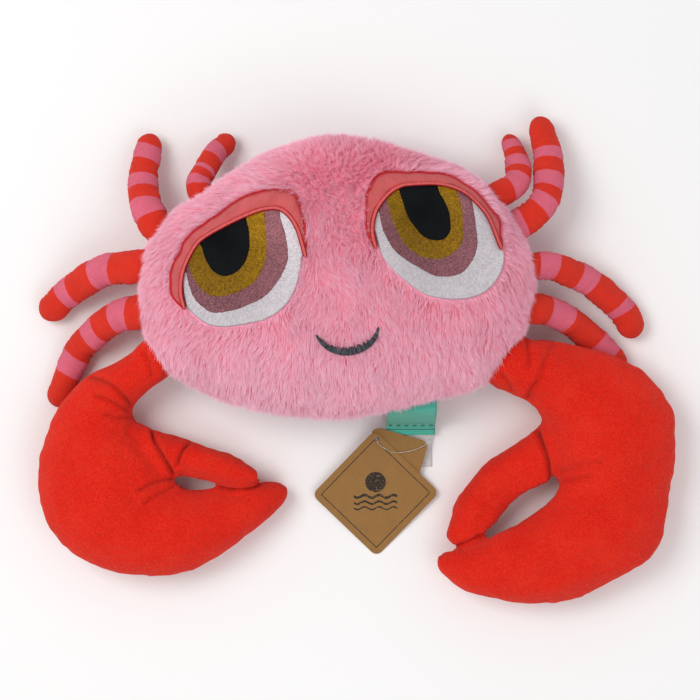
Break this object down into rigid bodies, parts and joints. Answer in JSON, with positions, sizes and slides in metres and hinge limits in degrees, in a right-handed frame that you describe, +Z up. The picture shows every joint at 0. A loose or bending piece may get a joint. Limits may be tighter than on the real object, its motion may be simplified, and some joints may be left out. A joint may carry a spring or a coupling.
{
  "type": "plush crab",
  "caption": "Soft stuffed crab toy with a furry body, embroidered eyes under padded lids, striped legs, fleece claws, sewn-in labels and a card tag on a nylon loop.",
  "frame": {"origin": "middle of the body's flat back, on the surface that the crab lies on", "axes": "+Z up, out of the face; +X to the viewer's right across the claws; +Y towards the top of the crab's head"},
  "size_m": [0.4549, 0.3482, 0.1087],
  "materials": {
    "fur_pink": "short soft pile, matt",
    "fleece_red": "short-nap fleece, matt with a faint sheen",
    "jersey_striped": "smooth cotton jersey in red and pink stripes",
    "thread_white": "satin-stitch embroidery",
    "thread_mauve": "satin-stitch embroidery",
    "thread_gold": "satin-stitch embroidery",
    "thread_black": "satin-stitch embroidery",
    "satin_coral": "smooth woven satin",
    "thread_red": "dense satin-stitched edge",
    "thread_grey": "satin-stitch embroidery",
    "label_teal": "woven ribbon",
    "label_white": "printed satin ribbon, blank",
    "kraft_card": "uncoated kraft card",
    "clear_nylon": "clear nylon, slightly glossy"
  },
  "bodies": {
    "root": {"body": "fur_pink", "claw_left": "fleece_red", "claw_right": "fleece_red", "leg_left_1": "jersey_striped", "leg_left_2": "jersey_striped", "leg_left_3": "jersey_striped", "leg_left_4": "jersey_striped", "eye_white_left": "thread_white", "eye_mauve_left": "thread_mauve", "eye_gold_left": "thread_gold", "eye_pupil_left": "thread_black", "eyelid_left": "satin_coral", "lid_outer_stitching_left": "thread_red", "lid_inner_stitching_left": "thread_red", "leg_right_1": "jersey_striped", "leg_right_2": "jersey_striped", "leg_right_3": "jersey_striped", "leg_right_4": "jersey_striped", "eye_white_right": "thread_white", "eye_mauve_right": "thread_mauve", "eye_gold_right": "thread_gold", "eye_pupil_right": "thread_black", "eyelid_right": "satin_coral", "lid_outer_stitching_right": "thread_red", "lid_inner_stitching_right": "thread_red", "mouth": "thread_grey", "woven_label": "label_teal", "care_label": "label_white", "tag_front_card": "kraft_card", "tag_back_card": "kraft_card", "tag_string": "clear_nylon"}
  },
  "joints": []
}
